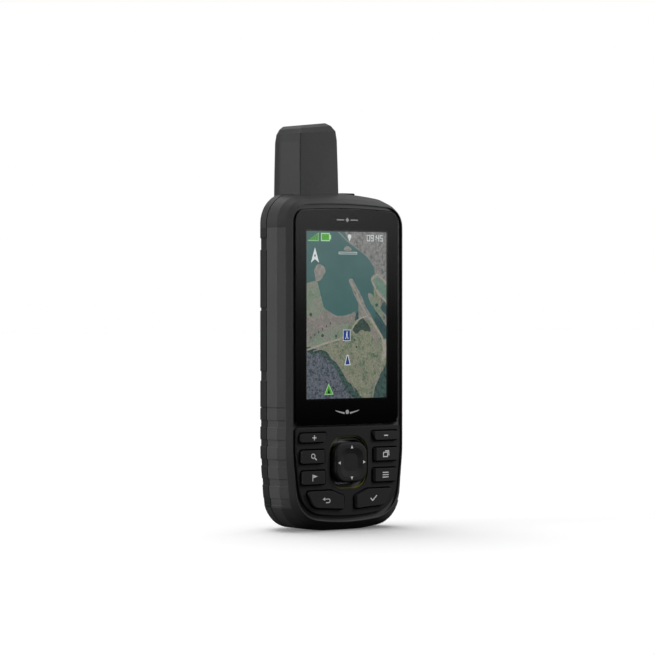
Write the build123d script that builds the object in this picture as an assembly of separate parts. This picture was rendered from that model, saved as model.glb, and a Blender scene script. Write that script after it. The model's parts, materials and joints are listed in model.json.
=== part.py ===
from build123d import *
from dataclasses import dataclass, replace
import os

# A rugged handheld GPS unit: two moulded housing halves with rubber side grips,
# a tall screen over a nine-control keypad, a faceted antenna stub at the top left,
# and a battery door with a rail and a turn-ring latch at the back.
# X runs across the unit, Y from the front (negative) to the back, Z up.
# The unit stands on a small flat at Z = 0. All sizes are millimetres.

os.makedirs("parts", exist_ok=True)

# ---- overall size ----
height = 160.0
depth = 35.0
front_limit = -depth / 2
back_limit = depth / 2

# ---- the shell in depth ----
lcd_y = -13.8
lens_front = lcd_y - 1.2
lens_back = lens_front + 0.9
panel_front = lens_front - 0.4
key_front = panel_front - 1.2
rim_y = -14.95
face_floor = -14.0
wall = 2.0
front_wall_back = face_floor + 1.8
seam_y = -3.3
seam_gap = 0.5
back_y = 13.8
grip_depth = 0.8
groove_depth = 0.7

# ---- screen ----
screen_width = 39.2
screen_height = 65.3
screen_z = 84.4
lens_half_width = 25.55
lens_low = 41.1
lens_high = 126.25
print_margin = 0.6

# ---- boards ----
board_front = -9.9
board_back = board_front + 1.0

# ---- keypad ----
key_gap = 0.55
flange_spread = 0.7
pad_z = 26.7
pad_width = 15.6
pad_height = 15.8
well_width = 18.8
well_height = 20.6
well_round = 6.5
cross_y = -13.1
cross_radius = 0.75
nub_reach = 6.3
nub_radius = 0.9
running_gap = 0.05

# ---- grips: ribs down the lower half, long pads above ----
grip_low = 9.5
grip_high = 118.3
rib_pitch = 7.6
rib_gap = 2.8
rib_count = 5
first_rib_top = 43.6
rib_recess = 0.4

# ---- antenna ----
antenna_x = -10.8
antenna_front = -10.8
antenna_back = 10.0
antenna_wall = 1.5
antenna_low = 124.0

# Slices up the stub: height and tilt of the slice, what is taken off its flanks, front and back,
# and the rounding of its flank and rear corners.
antenna_slices = [
    (antenna_low, 0.0, -0.3, -0.15, -0.1, 8.5, 4.5),
    (140.0, 0.5, -0.1, 0.25, 0.1, 8.5, 4.5),
    (152.5, 3.0, 0.15, 0.6, 0.4, 8.0, 4.5),
    (155.9, 4.5, 0.6, 0.9, 1.0, 7.0, 4.5),
    (158.0, 5.5, 1.7, 2.5, 2.3, 5.0, 4.0),
    (159.2, 6.0, 3.1, 4.4, 4.2, 3.5, 3.0),
]

# ---- battery door ----
door_half_width = 17.4
door_low = 12.4
door_gap = 0.2
hinge_z = 90.7
door_inside = 12.15
door_thickness = back_y - door_inside
hinge_y = back_y - door_thickness / 2
hinge_round = door_thickness / 2
ledge_back = 12.0
ledge_front = 10.2
bay_half_width = 15.3
bay_low = 22.5
bay_high = 82.5
bay_floor = -3.2
latch_z = 17.0
stud_radius = 3.0
ring_wire = 1.0
ring_y = 15.9
ring_half_width = 6.5

# ---- screws: places as (x, z) ----
housing_screws_at = [
    (-24.2, 112.0), (24.2, 112.0), (-24.2, 44.0), (24.2, 44.0), (-10.0, 5.4), (10.0, 5.4),
]
board_screws_at = [(-25.0, 60.0), (25.0, 60.0), (-25.0, 98.0), (25.0, 98.0)]

screw_head_seat = 4.0
head_radius = 2.1
head_height = 1.6
shank_radius = 1.1
column_radius = 2.6
post_radius = 1.5
thread_radius = 0.7

# ---- connectors at the back ----
usb_x = -7.0
usb_z = 104.0
jack_x = 11.0
jack_z = 104.0
torch_x = 11.0
torch_z = 117.5
vent_x = -13.0
vent_z = 115.0

# ---- power button ----
power_x = 11.0
power_y = 1.2
power_width = 7.8
power_depth = 4.4
power_top = 132.8
button_low = 128.0
switch_low = 124.8


@dataclass
class Station:
    """One slice of the shell at depth y, with its corners before rounding."""
    y: float
    half_width: float
    left_top: float
    mid_top: float
    right_top: float
    left_round: float
    right_round: float
    low_half_width: float
    low_corner: float
    low_mid: float
    low_round: float


# The top slopes more towards the right, away from the antenna.
rim = Station(rim_y, 27.1, 127.3, 128.2, 126.6, 8.0, 8.0, 24.3, 6.2, 3.3, 12.5)
bevel = Station(-13.0, 28.7, 128.6, 130.0, 127.6, 9.0, 11.0, 26.2, 4.6, 1.6, 13.0)
shoulder = Station(-10.05, 31.0, 129.8, 132.0, 127.8, 12.0, 16.0, 28.6, 3.2, -0.35, 13.0)
seam = Station(seam_y, 31.0, 130.2, 132.7, 128.6, 12.0, 15.0, 28.7, 3.2, -0.35, 13.0)
widest = Station(0.85, 31.0, 130.4, 133.0, 129.5, 12.0, 13.0, 28.7, 3.2, -0.35, 13.0)
haunch = Station(6.0, 26.9, 128.5, 131.6, 127.9, 11.0, 12.0, 25.0, 3.6, -0.1, 12.0)
slope = Station(11.5, 22.5, 124.5, 127.5, 124.0, 9.0, 9.0, 20.8, 6.0, 3.0, 10.0)
rear = Station(back_y, 19.8, 121.0, 124.0, 120.8, 8.0, 8.0, 18.4, 9.0, 6.0, 9.0)
taper_start = 30.0
taper_round = 60.0


def face_plane(y):
    """Plane at depth y where sketch x is X and sketch y is Z."""
    return Plane(origin=(0, y, 0), x_dir=(1, 0, 0), z_dir=(0, -1, 0))


def plate(sketch, y_front, y_back):
    """Solid with a front-view outline, from y_front back to y_back."""
    return extrude(face_plane(y_back) * sketch, amount=y_back - y_front)


def block(x, y, z):
    """Box from (low, high) pairs."""
    size = (x[1] - x[0], y[1] - y[0], z[1] - z[0])
    return Pos((x[0] + x[1]) / 2, (y[0] + y[1]) / 2, (z[0] + z[1]) / 2) * Box(*size)


def rod_x(radius, x, y, z):
    """Cylinder along X between the two values of x."""
    middle = (x[0] + x[1]) / 2
    return Pos(middle, y, z) * Rot(0, 90, 0) * Cylinder(radius, x[1] - x[0])


def rod_y(radius, x, y, z):
    """Cylinder along Y between the two values of y."""
    middle = (y[0] + y[1]) / 2
    return Pos(x, middle, z) * Rot(90, 0, 0) * Cylinder(radius, y[1] - y[0])


def rod_z(radius, x, y, z):
    """Cylinder along Z between the two values of z."""
    middle = (z[0] + z[1]) / 2
    return Pos(x, y, middle) * Cylinder(radius, z[1] - z[0])


def round_rect(x, z, width, tall, radius):
    """Rounded rectangle seen from the front."""
    return Pos(x, z) * RectangleRounded(width, tall, radius)


def corner_at(shape, x, z):
    """The outline vertex nearest to a place."""
    return min(shape.vertices(), key=lambda v: (v.X - x) ** 2 + (v.Y - z) ** 2)


def slice_outline(s):
    """Front-view outline of a shell station: arched top, tapering lower sides, rounded corners."""
    corners = [
        (-s.half_width, s.left_top, s.left_round),
        (s.half_width, s.right_top, s.right_round),
        (s.half_width, taper_start, taper_round),
        (s.low_half_width, s.low_corner, s.low_round),
        (-s.low_half_width, s.low_corner, s.low_round),
        (-s.half_width, taper_start, taper_round),
    ]
    points = [(x, z) for x, z, _ in corners]
    edges = ThreePointArc(points[0], (0, s.mid_top), points[1])
    edges += Polyline(points[1], points[2], points[3])
    edges += ThreePointArc(points[3], (0, s.low_mid), points[4])
    edges += Polyline(points[4], points[5], points[0])
    shape = make_face(edges)
    for x, z, radius in corners:
        shape = fillet(corner_at(shape, x, z), radius)
    return shape


def inset(s, amount, y=None, sides_only=False):
    """A station pulled inwards all round, or at the sides only."""
    narrow = replace(s, half_width=s.half_width - amount, low_half_width=s.low_half_width - amount)
    if sides_only:
        return narrow
    return replace(
        narrow,
        y=s.y if y is None else y,
        left_top=s.left_top - amount,
        mid_top=s.mid_top - amount,
        right_top=s.right_top - amount,
        left_round=max(s.left_round - amount, 2.0),
        right_round=max(s.right_round - amount, 2.0),
        low_corner=s.low_corner + amount,
        low_mid=s.low_mid + amount,
        low_round=s.low_round - amount,
    )


def skin(stations):
    """Straight-ruled solid through shell stations."""
    return loft([face_plane(s.y) * slice_outline(s) for s in stations], ruled=True)


def save(shape, name):
    """Write one sub-part."""
    shape.label = name
    export_step(shape, f"parts/{name}.step")


# ---- shell envelopes ----
front_stations = [rim, bevel, shoulder, seam]
rear_stations = [seam, widest, haunch, slope, rear]
ground = block((-60, 60), (-60, 60), (-20, 0))
front_skin = skin(front_stations) - ground
rear_skin = skin(rear_stations) - ground
front_half = block((-60, 60), (-60, seam_y - seam_gap / 2), (-20, 200))
rear_half = block((-60, 60), (seam_y + seam_gap / 2, 60), (-20, 200))


# ---- grips ----
def rib_gaps():
    """Heights of the recessed bands between the ribs."""
    tops = [first_rib_top - i * rib_pitch for i in range(rib_count)]
    return [(top - rib_gap, top) for top in tops]


def grip_region(side, y):
    """Box round one side of the unit, over the length of the grip."""
    x = (-60, -20) if side < 0 else (20, 60)
    return block(x, y, (grip_low, grip_high))


def side_shell(stations, amount):
    """Skin of even depth down both sides."""
    return skin(stations) - skin([inset(s, amount, sides_only=True) for s in stations])


front_grip_y = (-12.9, seam_y - seam_gap / 2)
rear_grip_y = (seam_y + seam_gap / 2, 6.0)
front_shell = side_shell(front_stations, grip_depth)
rear_shell = side_shell(rear_stations, grip_depth)
front_recess = side_shell(front_stations, rib_recess)
rear_recess = side_shell(rear_stations, rib_recess)
long_groove = [(48.1, 48.6)]
pad_breaks = [(58.8, 62.6), (86.1, 87.3), (109.8, 114.4)]


def grip(shell, recess, side, y, bands):
    """Rubber pad let into the side, with recessed bands across it."""
    pad = shell & grip_region(side, y)
    for low, high in bands:
        pad -= recess & block((-60, 60), y, (low, high))
    return pad


front_bands = rib_gaps() + long_groove
rear_bands = front_bands + pad_breaks
save(grip(front_shell, front_recess, -1, front_grip_y, front_bands), "front_grip_left")
save(grip(front_shell, front_recess, 1, front_grip_y, front_bands), "front_grip_right")
save(grip(rear_shell, rear_recess, -1, rear_grip_y, rear_bands), "rear_grip_left")
save(grip(rear_shell, rear_recess, 1, rear_grip_y, rear_bands), "rear_grip_right")


# ---- face pieces: screen lens and keypad panel ----
def lens_outline(margin=0.0):
    """Screen lens: square foot and a gently arched head with rounded corners."""
    half = lens_half_width - margin
    low = lens_low + margin
    high = lens_high - margin
    arch = 1.0
    edges = Polyline((-half, high - arch), (-half, low), (half, low), (half, high - arch))
    edges += ThreePointArc((half, high - arch), (0, high), (-half, high - arch))
    shape = make_face(edges)
    for x, z, radius in [(-half, low, 3.0), (half, low, 3.0), (-half, high, 5.0), (half, high, 5.0)]:
        shape = fillet(corner_at(shape, x, z), radius)
    return shape


def panel_outline():
    """Keypad panel: square head below the lens, foot rounded like the shell."""
    half = lens_half_width
    top = lens_low - 0.35
    foot = Station(panel_front, half, top, top + 0.01, top, 1.2, 1.2, 23.0, 8.3, 5.7, 11.5)
    return slice_outline(foot)


def slant_key(side):
    """Zoom key: low and wide, its inner end cut at a slant."""
    points = [(11.0, 38.5), (23.9, 38.5), (23.9, 35.1), (12.6, 35.1)]
    return mirrored_polygon(points, side, [0.6, 0.6, 0.6, 0.6])


def box_key(side, inner, outer, low, high):
    """Plain rounded key."""
    points = [(inner, high), (outer, high), (outer, low), (inner, low)]
    return mirrored_polygon(points, side, [0.6, 0.6, 0.6, 0.6])


def foot_key(side):
    """Bottom key: a slanted head and a large curve at its outer lower corner."""
    points = [(2.5, 13.4), (8.9, 15.9), (20.9, 15.9), (17.6, 9.6), (2.8, 8.6)]
    return mirrored_polygon(points, side, [0.8, 2.0, 0.8, 3.6, 0.8])


def mirrored_polygon(points, side, radii):
    """Polygon drawn for the right side, mirrored for the left, with rounded corners."""
    placed = [(side * x, z) for x, z in points]
    shape = make_face(Polyline(*placed, close=True))
    for (x, z), radius in zip(placed, radii):
        shape = fillet(corner_at(shape, x, z), radius)
    return shape


key_shapes = {
    "key_zoom_in": slant_key(-1),
    "key_zoom_out": slant_key(1),
    "key_find": box_key(-1, 12.1, 23.6, 26.9, 31.9),
    "key_page": box_key(1, 12.1, 23.6, 26.9, 31.9),
    "key_mark": box_key(-1, 11.7, 23.1, 18.7, 23.8),
    "key_menu": box_key(1, 11.7, 23.1, 18.7, 23.8),
    "key_back": foot_key(-1),
    "key_select": foot_key(1),
}
well = round_rect(0, pad_z, well_width, well_height, well_round)
well_floor_hole = round_rect(0, pad_z, pad_width + 1.6, pad_height + 1.6, 5.6)

keypad_panel = plate(panel_outline(), panel_front, face_floor)
keypad_panel = fillet(keypad_panel.faces().sort_by(Axis.Y)[0].edges(), 0.35)
keypad_panel -= plate(well, panel_front - 1, face_floor)
for shape in key_shapes.values():
    keypad_panel -= plate(offset(shape, key_gap), panel_front - 1, face_floor)
save(keypad_panel, "keypad_panel")

lens = plate(lens_outline(), lens_front, lens_back)
lens = chamfer(lens.faces().sort_by(Axis.Y)[0].edges(), 0.25)
save(lens, "screen_lens")
window = round_rect(0, screen_z, screen_width + 4.6, screen_height + 7.4, 1.0)
opening = round_rect(0, screen_z, screen_width + 2 * print_margin, screen_height + 2 * print_margin, 0.8)
adhesive = plate(lens_outline(0.4), lens_back, face_floor) - plate(opening, lens_back - 1, face_floor + 1)
save(adhesive, "lens_adhesive")

# ---- display stack ----
display_half = screen_width / 2 + 1.5
display_z = (screen_z - screen_height / 2 - 3.5, screen_z + screen_height / 2 + 1.8)
display = block((-display_half, display_half), (lcd_y, lcd_y + 1.1), display_z)
save(display, "display_panel")
light_tray = block((-display_half, display_half), (lcd_y + 1.1, lcd_y + 3.3), display_z)
save(fillet(light_tray.edges().filter_by(Axis.Y), 0.8), "display_backlight")


# ---- front housing ----
front_cavity = skin([
    inset(bevel, wall, y=front_wall_back),
    inset(shoulder, wall),
    inset(seam, wall),
])


def pivot_saddle():
    """Bar across the keypad well with two ears that hold the rocker's cross pin."""
    bar = block((-9.6, 9.6), (front_wall_back, front_wall_back + 1.0), (pad_z - 2.0, pad_z + 2.0))
    ear = block((3.4, 4.8), (cross_y - 0.95, front_wall_back), (pad_z - 1.6, pad_z + 1.6))
    saddle = bar + ear + mirror(ear, Plane.YZ)
    for side in (-1, 1):
        hole = rod_y(nub_radius + 0.5, side * nub_reach, (front_wall_back - 1, front_wall_back + 2), pad_z)
        saddle -= hole
    return saddle - rod_x(cross_radius + running_gap, (-6, 6), cross_y, pad_z)


front_housing = front_skin & front_half
front_housing -= front_cavity
front_housing -= plate(slice_outline(inset(rim, 0.35)), rim_y - 1, face_floor)
front_housing -= front_shell & (grip_region(-1, front_grip_y) + grip_region(1, front_grip_y))
front_housing -= plate(window, face_floor - 1, front_wall_back + 1)
front_housing -= plate(well_floor_hole, face_floor - 1, front_wall_back + 1)
for shape in key_shapes.values():
    front_housing -= plate(offset(shape, key_gap), face_floor - 1, front_wall_back + 1)
front_housing += pivot_saddle()
for x, z in housing_screws_at:
    front_housing += rod_y(column_radius, x, (front_wall_back, seam_y - seam_gap / 2), z)
    front_housing -= rod_y(shank_radius, x, (board_front, 0), z)
for x, z in board_screws_at:
    front_housing += rod_y(post_radius, x, (front_wall_back, board_front), z)
    front_housing -= rod_y(thread_radius, x, (board_front - 1.6, board_front), z)


# ---- antenna ----
def antenna_section(z, tilt, flank_inset, front_inset, back_inset, flank_round, rear_round, skin=0.0):
    """Six-sided slice of the stub: flat front, flared flanks, canted back, all moved in by skin."""
    front = antenna_front + front_inset + skin
    back = antenna_back - back_inset - skin
    narrow = 9.2 - flank_inset - skin
    broad = 11.7 - flank_inset - skin
    tail = 6.7 - flank_inset - skin
    flank = flank_round - skin
    rear = rear_round - skin
    points = [(-narrow, front), (narrow, front), (broad, 3.2), (tail, back), (-tail, back), (-broad, 3.2)]
    shape = make_face(Polyline(*points, close=True))
    for (x, y), radius in zip(points, [0.5, 0.5, flank, rear, rear, flank]):
        shape = fillet(corner_at(shape, x, y), radius)
    return Pos(antenna_x, 0, z) * Rot(0, -tilt, 0) * shape


antenna_outer = loft([antenna_section(*row) for row in antenna_slices], ruled=True)
antenna_outer = fillet(antenna_outer.faces().sort_by(Axis.Z)[-1].edges(), 0.5)
antenna_outer &= block((-60, 60), (-60, 60), (0, height))
antenna_inner = loft([antenna_section(*row, skin=antenna_wall) for row in antenna_slices[:4]], ruled=True)
antenna_cover = antenna_outer - antenna_inner - block((-60, 60), (-60, 60), (0, antenna_low + 0.01))
save(antenna_cover, "antenna_cover")
front_housing -= antenna_outer
save(front_housing, "front_housing")
antenna_axis_y = -0.6
former_radius = 5.2
antenna_board_top = 128.0
antenna_board_low = antenna_board_top - 1.2
former = rod_z(former_radius, antenna_x, antenna_axis_y, (antenna_board_top, 153.0))
former -= rod_z(former_radius - 1.2, antenna_x, antenna_axis_y, (antenna_board_top, 153.0))
save(former, "antenna_former")


def helix_strip(turn):
    """One copper strip wound half a turn up the former."""
    thick = 0.3
    strip = Pos(former_radius + thick / 2, 0) * Rectangle(thick, 1.4)
    face = (Rot(0, 0, turn) * strip).face()
    solid = Solid.extrude_linear_with_rotation(face, (0, 0, 0), (0, 0, 24.0), 180)
    return Pos(antenna_x, antenna_axis_y, antenna_board_top + 0.5) * solid


save(Compound([helix_strip(turn) for turn in (0, 90, 180, 270)]), "antenna_windings")
antenna_board = rod_z(6.6, antenna_x, antenna_axis_y, (antenna_board_low, antenna_board_top))
save(antenna_board, "antenna_board")
coax_end_z = 113.0
coax_path = FilletPolyline(
    (antenna_x, antenna_axis_y, antenna_board_low),
    (antenna_x, antenna_axis_y, coax_end_z),
    (antenna_x, board_back, coax_end_z),
    radius=4.0,
)
coax_start = Plane(origin=(antenna_x, antenna_axis_y, antenna_board_low), z_dir=(0, 0, -1))
save(sweep(coax_start * Circle(0.7), path=coax_path), "antenna_coax")

# ---- seam gasket ----
gasket_outer = slice_outline(inset(seam, groove_depth + 0.3))
gasket_inner = slice_outline(inset(seam, wall))
gasket = plate(gasket_outer, seam_y - seam_gap / 2, seam_y + seam_gap / 2)
gasket -= plate(gasket_inner, seam_y - 1, seam_y + 1)
gasket -= antenna_outer
save(gasket, "housing_gasket")

# ---- rear housing ----
rear_cavity = skin([
    inset(seam, wall),
    inset(widest, wall),
    inset(haunch, wall + 0.4),
    inset(slope, wall + 0.6, y=back_y - 1.9),
])
bay_y = (bay_floor - 1.2, ledge_back)
bay_wall = 1.4
bay_room = block((-bay_half_width, bay_half_width), (bay_floor, 60), (bay_low, bay_high))
bay_tub = block(
    (-bay_half_width - bay_wall, bay_half_width + bay_wall),
    bay_y,
    (bay_low - bay_wall, bay_high + bay_wall),
)
ledge = block(
    (-door_half_width - 1.6, door_half_width + 1.6),
    (ledge_front, back_y - 0.01),
    (door_low - 1.6, hinge_z + 3.0),
)


def door_outline(margin=0.0):
    """Door seen from behind: rounded at the foot, square at the hinge."""
    half = door_half_width + margin
    low = door_low - margin
    points = [(-half, hinge_z), (half, hinge_z), (half, low), (-half, low)]
    shape = make_face(Polyline(*points, close=True))
    for x in (-half, half):
        shape = fillet(corner_at(shape, x, low), 3.0)
    return shape


def gasket_ring(y_front, y_back, thickness):
    """Rectangular ring round the battery bay."""
    middle = (bay_low + bay_high) / 2
    tall = bay_high - bay_low
    outer = round_rect(0, middle, 2 * bay_half_width + 2.6, tall + 2.6, 2.0)
    inner = round_rect(0, middle, 2 * (bay_half_width + 1.3 - thickness), tall + 2.6 - 2 * thickness, 1.2)
    return plate(outer, y_front, y_back) - plate(inner, y_front - 1, y_back + 1)


rear_housing = rear_skin & rear_half
rear_housing -= rear_cavity
rear_housing += (bay_tub + ledge) & (rear_skin + block((-20, 20), (-6, 0), (2, 110)))
for x, z in housing_screws_at:
    rear_housing += rod_y(3.2, x, (seam_y + seam_gap / 2, back_y), z) & rear_skin
rear_housing -= bay_room
rear_housing -= plate(door_outline(door_gap), ledge_back, back_y + 1)
door_opening = door_half_width + door_gap
rear_housing -= rod_x(hinge_round + 0.2, (-door_opening, door_opening), hinge_y, hinge_z)
rear_housing -= gasket_ring(ledge_back - 0.8, ledge_back + 0.01, 0.9)
rear_housing -= rear_shell & (grip_region(-1, rear_grip_y) + grip_region(1, rear_grip_y))
rear_housing -= antenna_outer
for x, z in housing_screws_at:
    rear_housing -= rod_y(head_radius + 0.2, x, (screw_head_seat - head_height, back_y + 1), z)
    rear_housing -= rod_y(shank_radius, x, (seam_y, screw_head_seat), z)

card_window = block((-6.6, 6.6), (bay_floor - 2, bay_floor + 1), (45.0, 63.0))

# ---- rear housing: connector pockets, torch, vent, power button, latch relief ----
cap_floor = back_y - 1.4
cap_front = cap_floor + 0.2
cap_back = back_y + 0.4
pin_y = back_y - 0.4
pin_radius = 0.5
knuckle_radius = 1.1
usb_cap_width = 16.4
usb_cap_height = 9.0
usb_pin_x = usb_x - usb_cap_width / 2 - 0.8
jack_cap_radius = 5.2
jack_pin_x = jack_x + jack_cap_radius + 1.4
jack_knuckle = 2.0
connector_board_back = 6.6
torch_radius = 3.6
latch_relief = 6.6
relief_front = 8.0


def pocket(sketch, y_front):
    """Recess open to the back."""
    return plate(sketch, y_front, back_y + 1)


def hinge_channel(x, z, half):
    """Groove for a cap's knuckle, and the bore of its pin."""
    return rod_z(knuckle_radius + 0.25, x, pin_y, (z - half, z + half)) + rod_z(
        pin_radius, x, pin_y, (z - half - 1.2, z + half + 1.2)
    )


def power_outline(margin=0.0):
    """Power button seen from above."""
    width = power_width + 2 * margin
    return Pos(power_x, power_y) * RectangleRounded(width, power_depth + 2 * margin, 2.0 + margin)


socket_wall_y = (connector_board_back + 0.4, cap_floor)
rear_housing += block((usb_x - 6.2, usb_x + 6.2), socket_wall_y, (usb_z - 3.4, usb_z + 3.4))
rear_housing += rod_y(4.6, jack_x, socket_wall_y, jack_z)
switch_shelf = block((power_x - 3.5, power_x + 3.5), (-2.0, 12.0), (switch_low - 1.4, switch_low))
rear_housing += switch_shelf & rear_skin
usb_recess = round_rect(usb_x, usb_z, usb_cap_width + 0.6, usb_cap_height + 0.6, 2.1)
rear_housing -= pocket(usb_recess, cap_floor)
rear_housing -= pocket(round_rect(usb_x, usb_z, 9.4, 3.9, 1.0), 5.0)
rear_housing -= hinge_channel(usb_pin_x, usb_z, usb_cap_height / 2 + 0.2)
rear_housing -= rod_y(jack_cap_radius + 0.3, jack_x, (cap_floor, back_y + 1), jack_z)
rear_housing -= rod_y(3.3, jack_x, (5.0, back_y + 1), jack_z)
neck_room = jack_knuckle + 0.3
neck_channel = (jack_z - neck_room, jack_z + neck_room)
rear_housing -= block((jack_x + 3, jack_pin_x), (cap_floor, back_y + 1), neck_channel)
rear_housing -= hinge_channel(jack_pin_x, jack_z, jack_knuckle + 0.2)
rear_housing -= rod_y(torch_radius, torch_x, (12.6, back_y + 1), torch_z)
rear_housing -= rod_y(3.0, torch_x, (9.0, back_y + 1), torch_z)
for angle in range(0, 360, 72):
    hole = Pos(1.3, 0) * Circle(0.35)
    rear_housing -= plate(Pos(vent_x, vent_z) * Rot(0, 0, angle) * hole, 10.0, back_y + 1)
rear_housing -= Pos(0, 0, button_low) * extrude(power_outline(0.25), amount=8)
rear_housing -= rod_y(latch_relief, 0, (relief_front, ledge_back + 0.01), latch_z)
rear_housing -= card_window
save(rear_housing, "rear_housing")


# ---- keys ----
def key(shape, side):
    """Key cap with a bevelled inner end, a flange behind the wall and a short plunger."""
    cap = plate(shape, key_front, front_wall_back + 0.1)
    span = shape.bounding_box()
    inner = span.min.X if side > 0 else span.max.X
    ahead = key_front - 1
    corner = [(inner - side, ahead), (inner + side * 1.8, ahead), (inner - side, key_front + 1.8)]
    wedge = extrude(make_face(Polyline(*corner, close=True)), amount=span.size.Y + 2)
    cap -= Pos(0, 0, span.min.Y - 1) * wedge
    flange = plate(offset(shape, flange_spread), front_wall_back + 0.1, front_wall_back + 0.6)
    middle = shape.center()
    plunger = rod_y(1.4, middle.X, (front_wall_back + 0.6, board_front - 1.0), middle.Y)
    return cap + flange + plunger


for name, shape in key_shapes.items():
    save(key(shape, -1 if shape.center().X < 0 else 1), name)

# ---- rocker pad on its cross pin ----
pad_back = -14.6
dish_depth = 0.8
dpad = plate(round_rect(0, pad_z, pad_width, pad_height, 5.0), front_limit, pad_back)
dpad = fillet(dpad.faces().sort_by(Axis.Y)[0].edges(), 1.1)
dpad -= loft([
    face_plane(front_limit - 0.01) * round_rect(0, pad_z, 11.2, 11.4, 3.6),
    face_plane(front_limit + dish_depth) * round_rect(0, pad_z, 6.8, 7.0, 2.2),
])
for side in (-1, 1):
    lug_z = (pad_z + side * 2.8 - 0.6, pad_z + side * 2.8 + 0.6)
    dpad += block((-1.4, 1.4), (pad_back, cross_y + cross_radius), lug_z)
    dpad += rod_y(nub_radius, side * nub_reach, (pad_back, board_front - 1.1), pad_z)
    dpad += rod_y(nub_radius, 0, (pad_back, board_front - 1.1), pad_z + side * nub_reach)
dpad -= rod_z(cross_radius + running_gap, 0, cross_y, (pad_z - 4, pad_z + 4))
save(dpad, "dpad")
cross = rod_x(cross_radius, (-4.7, 4.7), cross_y, pad_z)
cross += rod_z(cross_radius, 0, cross_y, (pad_z - 3.3, pad_z + 3.3))
save(cross, "dpad_cross")
accent = plate(well, face_floor - 0.9, face_floor)
ring_inside = round_rect(0, pad_z, well_width - 1.0, well_height - 1.0, well_round - 0.5)
accent -= plate(ring_inside, front_limit, 0)
save(accent, "dpad_ring")

# ---- keypad web and snap domes ----
web = plate(round_rect(0, 23.9, 48.8, 31.4, 7.0), front_wall_back, front_wall_back + 0.4)
web -= plate(round_rect(0, pad_z, 21.0, 22.0, 6.0), front_limit, 0)
for shape in key_shapes.values():
    web -= plate(offset(shape, flange_spread + 0.3), -20, 0)
save(web, "keypad_web")
film = 0.15
dome_height = 0.3
domes = plate(round_rect(0, 24.6, 48.0, 30.0, 4.0), board_front - film, board_front)
dome_spots = [(shape.center().X, shape.center().Y) for shape in key_shapes.values()]
dome_spots += [(nub_reach, pad_z), (-nub_reach, pad_z), (0, pad_z + nub_reach), (0, pad_z - nub_reach)]
for x, z in dome_spots:
    domes += rod_y(2.3, x, (board_front - film - dome_height, board_front - film), z)
save(domes, "dome_sheet")

# ---- main board ----
board = plate(slice_outline(inset(shoulder, 3.8)), board_front, board_back)
board &= block((-60, 60), (-60, 60), (9.2, 122.0))
for x, z in housing_screws_at:
    board -= rod_y(column_radius + 0.3, x, (-20, 0), z)
for x, z in board_screws_at:
    board -= rod_y(thread_radius, x, (-20, 0), z)
save(board, "main_board")


def shield_can(x, z, depth_out):
    """Folded tin lid over a group of chips."""
    outer = block(x, (board_back, board_back + depth_out), z)
    room_x = (x[0] + 0.3, x[1] - 0.3)
    room_z = (z[0] + 0.3, z[1] - 0.3)
    return outer - block(room_x, (board_back - 1, board_back + depth_out - 0.3), room_z)


cans = [shield_can((-21.0, -2.0), (91.0, 109.0), 1.8), shield_can((-14.0, 12.0), (52.0, 80.0), 2.0)]
save(Compound(cans), "shield_cans")
save(rod_y(5.5, 12.0, (board_back, board_back + 2.6), 100.0), "buzzer")


def board_screw(x, z):
    """Small pan-head screw."""
    head = rod_y(1.3, x, (board_back, board_back + 0.9), z)
    return head + rod_y(thread_radius, x, (board_front - 1.5, board_back), z)


save(Compound([board_screw(x, z) for x, z in board_screws_at]), "board_screws")


def housing_screw(x, z):
    """Socket-head screw that clamps the two halves."""
    seat = screw_head_seat - head_height
    screw = rod_y(head_radius, x, (seat, screw_head_seat), z)
    screw += rod_y(shank_radius, x, (board_front + 0.5, seat), z)
    return screw - rod_y(1.0, x, (screw_head_seat - 0.9, screw_head_seat + 1), z)


save(Compound([housing_screw(x, z) for x, z in housing_screws_at]), "housing_screws")

# ---- connectors ----
board_y = (connector_board_back - 1.0, connector_board_back)
save(block((usb_x - 8.0, jack_x + 5.0), board_y, (usb_z - 6.0, usb_z + 6.0)), "connector_board")
usb_shell = plate(round_rect(usb_x, usb_z, 8.0, 3.0, 0.8), connector_board_back, 12.2)
usb_shell -= plate(round_rect(usb_x, usb_z, 7.0, 2.1, 0.5), 8.0, 13.0)
usb_shell += block((usb_x - 2.6, usb_x + 2.6), (8.0, 11.6), (usb_z - 0.2, usb_z + 0.4))
save(usb_shell, "usb_socket")
jack_bore = 1.75
jack_reach = 4.2
jack = rod_y(2.5, jack_x, (connector_board_back, 12.3), jack_z)
jack -= rod_y(jack_bore, jack_x, (12.3 - jack_reach, 13), jack_z)
save(jack, "antenna_jack")

usb_cap = plate(round_rect(usb_x, usb_z, usb_cap_width, usb_cap_height, 1.8), cap_front, cap_back)
usb_cap = fillet(usb_cap.faces().sort_by(Axis.Y)[-1].edges(), 0.4)
usb_cap += block((usb_pin_x, usb_x - 6), (pin_y - 0.6, pin_y + 0.6), (usb_z - 4.0, usb_z + 4.0))
usb_cap += plate(round_rect(usb_x, usb_z, 8.2, 2.8, 0.8), cap_floor - 0.1, cap_front)
usb_knuckle = (usb_z - usb_cap_height / 2, usb_z + usb_cap_height / 2)
usb_cap += rod_z(knuckle_radius, usb_pin_x, pin_y, usb_knuckle)
usb_cap -= rod_z(pin_radius + running_gap, usb_pin_x, pin_y, (usb_z - 10, usb_z + 10))
save(usb_cap, "usb_cap")

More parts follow.
